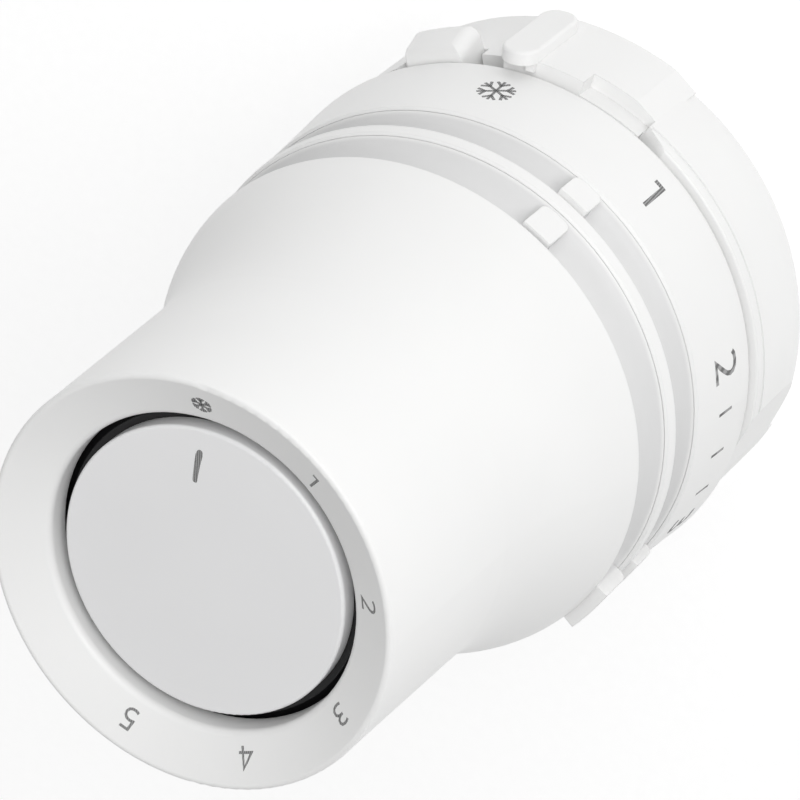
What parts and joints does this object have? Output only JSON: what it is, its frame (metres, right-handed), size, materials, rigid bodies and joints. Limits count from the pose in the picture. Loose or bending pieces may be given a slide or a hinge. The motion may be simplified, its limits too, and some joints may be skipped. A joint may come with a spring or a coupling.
{
  "type": "thermostatic radiator valve head",
  "caption": "Thermostatic radiator valve head with a numbered rotating handle, an inner bellows sensor that moves a pressure pin, limiter rings and a click-fit rear collar for the valve neck.",
  "frame": {"origin": "centre of the valve socket's mouth, on the flat rear face", "axes": "+Z along the axis from the valve towards the handle's front; +Y towards the index tab, where the handle stands at frost"},
  "size_m": [0.0528, 0.0545, 0.074],
  "materials": {
    "white_plastic": "satin moulded ABS",
    "collar_plastic": "satin moulded ABS",
    "disc_plastic": "fine satin",
    "black_plastic": "black moulded PA",
    "acetal": "natural acetal",
    "spring_steel": "bright drawn wire",
    "brass": "turned",
    "tinplate": "drawn sheet",
    "bronze": "rolled bellows"
  },
  "bodies": {
    "base": {"base_body": "white_plastic", "rear_collar": "collar_plastic", "lock_spring": "spring_steel", "sensor_cage": "black_plastic", "front_disc": "disc_plastic"},
    "handle": {"handle_shell": "white_plastic", "retaining_clip": "spring_steel", "setting_nut": "acetal", "ridge_ring": "white_plastic", "scale_ring": "white_plastic"},
    "limit_front": {"limit_ring_front": "white_plastic"},
    "limit_rear": {"limit_ring_rear": "white_plastic"},
    "sensor": {"sensor_carriage": "black_plastic", "capsule_can": "tinplate", "capsule_cap": "tinplate", "fill_tube": "brass", "bellows": "bronze", "return_spring": "spring_steel"},
    "thrust": {"thrust_cup": "acetal", "stem_keeper": "brass", "overtravel_spring": "spring_steel"},
    "pin": {"pressure_pin": "acetal"},
    "lock": {"lock_ring": "collar_plastic"},
    "jaw_1": {"lock_jaw_1": "acetal"},
    "jaw_2": {"lock_jaw_2": "acetal"},
    "jaw_3": {"lock_jaw_3": "acetal"}
  },
  "joints": [
    {"name": "handle_turn", "type": "hinge", "parent": "base", "child": "handle", "pos_m": [0, 0, 0.03], "axis": [0, 0, 1], "range_deg": [0, 200]},
    {"name": "setting_travel", "type": "slide", "parent": "base", "child": "sensor", "axis": [0, 0, 1], "range_m": [0, 0.0042]},
    {"name": "temperature_stroke", "type": "slide", "parent": "sensor", "child": "thrust", "axis": [0, 0, -1], "range_m": [0, 0.0025], "stiffness_N_per_m": 1500, "deforming": ["bellows", "return_spring"]},
    {"name": "overtravel", "type": "slide", "parent": "thrust", "child": "pin", "axis": [0, 0, 1], "range_m": [0, 0.003], "stiffness_N_per_m": 2000, "deforming": ["overtravel_spring"]},
    {"name": "lock_turn", "type": "hinge", "parent": "base", "child": "lock", "pos_m": [0, 0, 0.006], "axis": [0, 0, 1], "range_deg": [0, 6.5]},
    {"name": "limit_front_turn", "type": "hinge", "parent": "handle", "child": "limit_front", "pos_m": [0, 0, 0.033], "axis": [0, 0, 1], "range_deg": [0, 170]},
    {"name": "limit_rear_turn", "type": "hinge", "parent": "handle", "child": "limit_rear", "pos_m": [0, 0, 0.027], "axis": [0, 0, 1], "range_deg": [-170, 0]},
    {"name": "jaw_1_slide", "type": "slide", "parent": "base", "child": "jaw_1", "axis": [-0.866, -0.5, 0], "range_m": [0, 0.0009]},
    {"name": "jaw_2_slide", "type": "slide", "parent": "base", "child": "jaw_2", "axis": [0.866, -0.5, 0], "range_m": [0, 0.0009]},
    {"name": "jaw_3_slide", "type": "slide", "parent": "base", "child": "jaw_3", "axis": [0, 1, 0], "range_m": [0, 0.0009]}
  ],
  "couplings": [
    {"joint": "setting_travel", "follows": "handle_turn", "m_per_rad": 0.0012},
    {"joint": "jaw_1_slide", "follows": "lock_turn", "m_per_rad": 0.0078},
    {"joint": "jaw_2_slide", "follows": "lock_turn", "m_per_rad": 0.0078},
    {"joint": "jaw_3_slide", "follows": "lock_turn", "m_per_rad": 0.0078}
  ]
}
